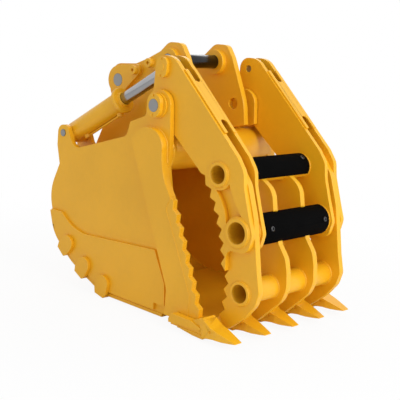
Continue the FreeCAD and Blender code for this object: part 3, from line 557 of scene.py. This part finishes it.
class PaintSettings(bpy.types.PropertyGroup):
    colour: FloatVectorProperty(
        name="Enamel", description="Colour of the machine enamel",
        subtype="COLOR", size=3, default=(0.92, 0.468, 0.009))
    patch_shade: FloatProperty(
        name="Patch shade", description="Brightness of the enamel's darker patches as a share", default=0.93)
    # Painted highlight: the brighter colour that edges turn towards
    brightened: FloatVectorProperty(
        name="Rubbed edge", description="Colour of the enamel where edges are rubbed",
        subtype="COLOR", size=3, default=(0.96, 0.50, 0.016))
    # Painted shade: the colour that tight corners, the bores and the hold darken towards
    shade_colour: FloatVectorProperty(
        name="Grime", description="Colour of the enamel in tight corners",
        subtype="COLOR", size=3, default=(0.30, 0.11, 0.004))
    # Painted shade in tight corners: its strength and reach
    grime: FloatProperty(
        name="Grime share", description="How strongly tight corners darken", default=0.45)
    crevice: FloatProperty(
        name="Grime reach", description="Reach of a tight corner in millimetres", default=5.0)
    # Painted highlight along edges: its strength and width
    wear: FloatProperty(
        name="Edge wear", description="How strongly edges show wear", default=0.85)
    edge: FloatProperty(
        name="Edge width", description="Width of the rubbed edge in millimetres", default=7.0)
    roughness: FloatProperty(
        name="Roughness", description="Lowest roughness of the enamel", default=0.36)
    coat: FloatProperty(
        name="Clear coat", description="Weight of the clear coat", default=0.06)
    peel: FloatProperty(
        name="Orange peel", description="Cells of orange peel per metre", default=320.0)
    bore: FloatProperty(
        name="Bore share", description="Share of a cross tube's radius that its bore takes up", default=0.76)
    # Painted shade in the cross tubes' bores and deep in the bucket's hold
    bore_shade: FloatProperty(
        name="Bore grime", description="How strongly the cross tubes' bores darken", default=0.4)
    hold_reach: FloatProperty(
        name="Hold reach", description="Reach of the bucket's dark inside in millimetres", default=700.0)
    hold_shade: FloatProperty(
        name="Hold grime", description="How strongly the bucket's inside darkens", default=0.75)


class SteelSettings(bpy.types.PropertyGroup):
    coating: FloatVectorProperty(
        name="Guard coating", description="Colour of the black guards",
        subtype="COLOR", size=3, default=(0.0022, 0.0022, 0.0022))
    coating_grey: FloatProperty(
        name="Guard grey", description="How much brighter the guards are where they are rubbed",
        default=0.008)
    journal: FloatVectorProperty(
        name="Pin journal", description="Colour of the ground journals",
        subtype="COLOR", size=3, default=(0.030, 0.031, 0.034))
    end_face: FloatVectorProperty(
        name="Pin end", description="Colour of the pins' end faces",
        subtype="COLOR", size=3, default=(0.34, 0.34, 0.34))
    eye_reach: FloatProperty(
        name="Eye reach", description="Radius of the rod's eye in millimetres", default=62.0)


class BeadSettings(bpy.types.PropertyGroup):
    reach: FloatProperty(
        name="Seam reach", description="Largest gap at a seam in millimetres", default=1.5)
    plug_low: FloatVectorProperty(
        name="Plug weld from",
        description="Lowest corner of the weld that fills the notch behind the base edge, on the right",
        subtype="XYZ", unit="LENGTH", size=3, default=(0.425, -0.305, -1.374))
    plug_high: FloatVectorProperty(
        name="Plug weld to", description="Highest corner of that weld",
        subtype="XYZ", unit="LENGTH", size=3, default=(0.4572, -0.252, -1.341))
    shortest: FloatProperty(
        name="Shortest bead", description="Shortest bead in millimetres", default=18.0)
    ripple: FloatProperty(
        name="Ripple", description="Share of the radius lost between ripples", default=0.18)


class StudioSettings(bpy.types.PropertyGroup):
    camera: FloatVectorProperty(
        name="Camera", description="Camera position",
        subtype="XYZ", unit="LENGTH", size=3, default=(-4.15468, -3.79745, 0.29911))
    aim: FloatVectorProperty(
        name="Aim", description="Direction the camera looks in",
        subtype="DIRECTION", size=3, default=(0.734168, 0.649635, -0.197413))
    side: FloatVectorProperty(
        name="Camera right", description="Direction of the picture's right side",
        subtype="DIRECTION", size=3, default=(0.672883, -0.734994, 0.083742))
    lens: FloatProperty(
        name="Lens", description="Focal length in millimetres", default=84.55)
    ambient: FloatProperty(
        name="Ambient", description="Strength of the studio's soft surround", default=0.71)
    floor_reach: IntProperty(
        name="Floor reach", description="Half width of the floor in metres", default=30)
    floor_drop: FloatProperty(
        name="Floor drop", description="Gap below the lowest point of the bucket in millimetres", default=0.5)
    floor_glow: FloatProperty(
        name="Floor glow", description="Share of plain white that the camera sees in the floor nearby",
        default=0.92)
    glow_from: FloatProperty(
        name="Glow from", description="Distance from the middle where the floor starts to turn plain white",
        unit="LENGTH", default=1.6)
    glow_to: FloatProperty(
        name="Glow to", description="Distance from the middle where the floor is plain white",
        unit="LENGTH", default=3.2)


# Operators

def shared_enamel(context):
    """The enamel, made once for all the painted pieces."""
    made = bpy.data.materials.get("yellow_enamel")
    return made or paint_finish("yellow_enamel", context.scene.bucket_paint)


def painted(body):
    """Nodes of a body that take the shared enamel."""
    return [name for name in BODIES[body] if name not in SPECIAL_NODES]


class CLAWBUCKET_OT_paint_bucket(bpy.types.Operator):
    """Enamel on every painted piece of the bucket body"""
    bl_idname = "clawbucket.paint_bucket"
    bl_label = "Paint the bucket"

    def execute(self, context):
        enamel = shared_enamel(context)
        settings = context.scene.bucket_paint
        dress(HOLD_NODES, paint_finish("hold_enamel", settings, deep=settings.hold_shade), PLATE_SOFT)
        dress_painted(painted("bucket"), enamel)
        return {"FINISHED"}


class CLAWBUCKET_OT_paint_claw(bpy.types.Operator):
    """Enamel on every painted piece of the claw and its cylinders"""
    bl_idname = "clawbucket.paint_claw"
    bl_label = "Paint the claw"

    def execute(self, context):
        enamel = shared_enamel(context)
        dress_painted(painted("claw") + painted("barrel_left") + painted("barrel_right"), enamel)
        bores = [(centre, half.z) for centre, half in map(middle_of, TUBE_NODES)]
        dress(TUBE_NODES, paint_finish("tube_enamel", context.scene.bucket_paint, bores), PLATE_SOFT)
        return {"FINISHED"}


class CLAWBUCKET_OT_coat_guards(bpy.types.Operator):
    """Black coating on the half-pipe guards of the cross tubes"""
    bl_idname = "clawbucket.coat_guards"
    bl_label = "Coat the guards"

    def execute(self, context):
        dress(BLACK_NODES, guard_finish(context.scene.bucket_steel), GUARD_SOFT)
        return {"FINISHED"}


class CLAWBUCKET_OT_finish_steel(bpy.types.Operator):
    """Bare steel, chrome and bronze on pins, rods, bolts and bushings"""
    bl_idname = "clawbucket.finish_steel"
    bl_label = "Finish pins, rods and bolts"

    def execute(self, context):
        settings = context.scene.bucket_steel
        eye, _ = middle_of("rod_pins")
        dress(PIN_NODES, pin_finish(settings), PIN_SOFT)
        dress(ROD_NODES, chrome_finish(eye, settings), ROD_SOFT)
        dress(BOLT_NODES, bolt_finish("oiled_bolt_steel", OILED_BOLT), SMALL_SOFT)
        dress(BLACK_BOLT_NODES, bolt_finish("blackened_bolt_steel", BLACKENED_BOLT), SMALL_SOFT)
        dress(BRONZE_NODES, bronze_finish(), SMALL_SOFT)
        return {"FINISHED"}


class CLAWBUCKET_OT_lay_beads(bpy.types.Operator):
    """Painted weld beads where the tubes and ears meet their plates"""
    bl_idname = "clawbucket.lay_beads"
    bl_label = "Lay the weld beads"

    def execute(self, context):
        enamel = shared_enamel(context)
        settings = context.scene.bucket_bead
        for seams, body in ((BUCKET_SEAMS, "bucket"), (CLAW_SEAMS, "claw")):
            for name, other, radius in seams:
                laid = 0
                for side in ("left", "right") if "%" in name + other else ("",):
                    piece, base = name.replace("%", side), other.replace("%", side)
                    laid += lay_seam(piece, base, body, enamel, radius, settings)
                if not laid:
                    raise RuntimeError("no seam between %s and %s" % (name, other))
        for side, sign in (("left", -1), ("right", 1)):
            add_weld(plug_mesh("bead_edge_corner_%s" % side, sign, settings), "bucket", enamel)
        return {"FINISHED"}


class CLAWBUCKET_OT_set_studio(bpy.types.Operator):
    """Pale floor, soft lamps and the camera of the photograph"""
    bl_idname = "clawbucket.set_studio"
    bl_label = "Set up the studio"

    def execute(self, context):
        settings = context.scene.bucket_studio
        lay_floor(settings)
        hang_lamps()
        fill_surround(settings)
        place_camera(settings)
        context.scene.view_settings.view_transform = "Standard"
        return {"FINISHED"}


def lay_floor(settings):
    """Paper floor under the bucket; to the camera it glows, and is plain white from some way out."""
    reach = settings.floor_reach
    height = CAD_BOX[0].z - settings.floor_drop * MM
    turns = ((-1, -1), (1, -1), (1, 1), (-1, 1))
    corners = [(x * reach, y * reach, height) for x, y in turns]
    mesh = bpy.data.meshes.new("studio_floor")
    mesh.from_pydata(corners, [], [(0, 1, 2, 3)])
    add_object("studio_floor", mesh)
    floor = Finish("studio_floor_paper", Base_Color=PAPER, Roughness=0.9)
    tree = floor.tree
    glow = node(tree, "ShaderNodeEmission", {}, WHITE, 1.0)
    camera_ray = node(tree, "ShaderNodeLightPath", {}, out=PATH_KINDS[0])
    far = floor.vector_math("LENGTH", floor.place, out=1).step(settings.glow_from, settings.glow_to)
    blend = camera_ray * (settings.floor_glow + far * (1.0 - settings.floor_glow))
    surface = node(tree, "ShaderNodeMixShader", {}, blend, Tone(tree, floor.shader.outputs[0]), glow)
    tree.links.new(surface.socket, tree.nodes["Material Output"].inputs["Surface"])
    mesh.materials.append(floor.material)


def hang_lamps():
    """Square lamps round the bucket, all turned to its middle."""
    for name, place, size, power in LAMPS:
        lamp = bpy.data.lights.new(name, "AREA")
        lamp.shape = "SQUARE"
        lamp.size = size
        lamp.energy = power
        holder = add_object(name, lamp)
        holder.location = place
        holder.rotation_mode = "QUATERNION"
        holder.rotation_quaternion = (Vector(LAMP_AIM) - Vector(place)).to_track_quat("-Z", "Y")


def fill_surround(settings):
    """White surround, at full strength to the camera and in mirrors and at ambient strength as light."""
    world = bpy.data.worlds.new("studio_surround")
    world.use_nodes = True
    tree = world.node_tree
    camera, glossy, through = [node(tree, "ShaderNodeLightPath", {}, out=kind) for kind in PATH_KINDS]
    seen = (camera + glossy + through).clamp()
    back = tree.nodes["Background"]
    back.inputs["Color"].default_value = WHITE
    strength = settings.ambient + seen * (1.0 - settings.ambient)
    tree.links.new(strength.socket, back.inputs["Strength"])
    bpy.context.scene.world = world


def place_camera(settings):
    """Camera that was solved from the photograph."""
    lens = bpy.data.cameras.new("photo_camera")
    lens.lens = settings.lens
    lens.sensor_width = SENSOR_WIDTH
    lens.sensor_fit = "HORIZONTAL"
    lens.clip_end = CLIP_END
    camera = add_object("photo_camera", lens)
    forward = Vector(settings.aim).normalized()
    right = Vector(settings.side).normalized()
    turn = Matrix((right, right.cross(forward), -forward)).transposed().to_4x4()
    camera.matrix_world = Matrix.Translation(Vector(settings.camera)) @ turn
    bpy.context.scene.camera = camera


class CLAWBUCKET_PT_panel(bpy.types.Panel):
    """Steps that finish the claw bucket, in order"""
    bl_idname = "CLAWBUCKET_PT_panel"
    bl_label = "Claw Bucket"
    bl_space_type = "VIEW_3D"
    bl_region_type = "UI"
    bl_category = "Claw Bucket"

    def draw(self, context):
        for operator in OPERATORS:
            self.layout.operator(operator.bl_idname)


SETTINGS = {
    "bucket_paint": PaintSettings,
    "bucket_steel": SteelSettings,
    "bucket_bead": BeadSettings,
    "bucket_studio": StudioSettings,
}
OPERATORS = (
    CLAWBUCKET_OT_paint_bucket,
    CLAWBUCKET_OT_paint_claw,
    CLAWBUCKET_OT_coat_guards,
    CLAWBUCKET_OT_finish_steel,
    CLAWBUCKET_OT_lay_beads,
    CLAWBUCKET_OT_set_studio,
)


def register():
    for kind in tuple(SETTINGS.values()) + OPERATORS + (CLAWBUCKET_PT_panel,):
        bpy.utils.register_class(kind)
    for name, kind in SETTINGS.items():
        setattr(bpy.types.Scene, name, PointerProperty(type=kind))


def unregister():
    for name in SETTINGS:
        delattr(bpy.types.Scene, name)
    for kind in (CLAWBUCKET_PT_panel,) + OPERATORS[::-1] + tuple(SETTINGS.values()):
        bpy.utils.unregister_class(kind)


def main():
    register()
    for operator in OPERATORS:
        group, action = operator.bl_idname.split(".")
        getattr(getattr(bpy.ops, group), action)()


if __name__ == "__main__":
    main()
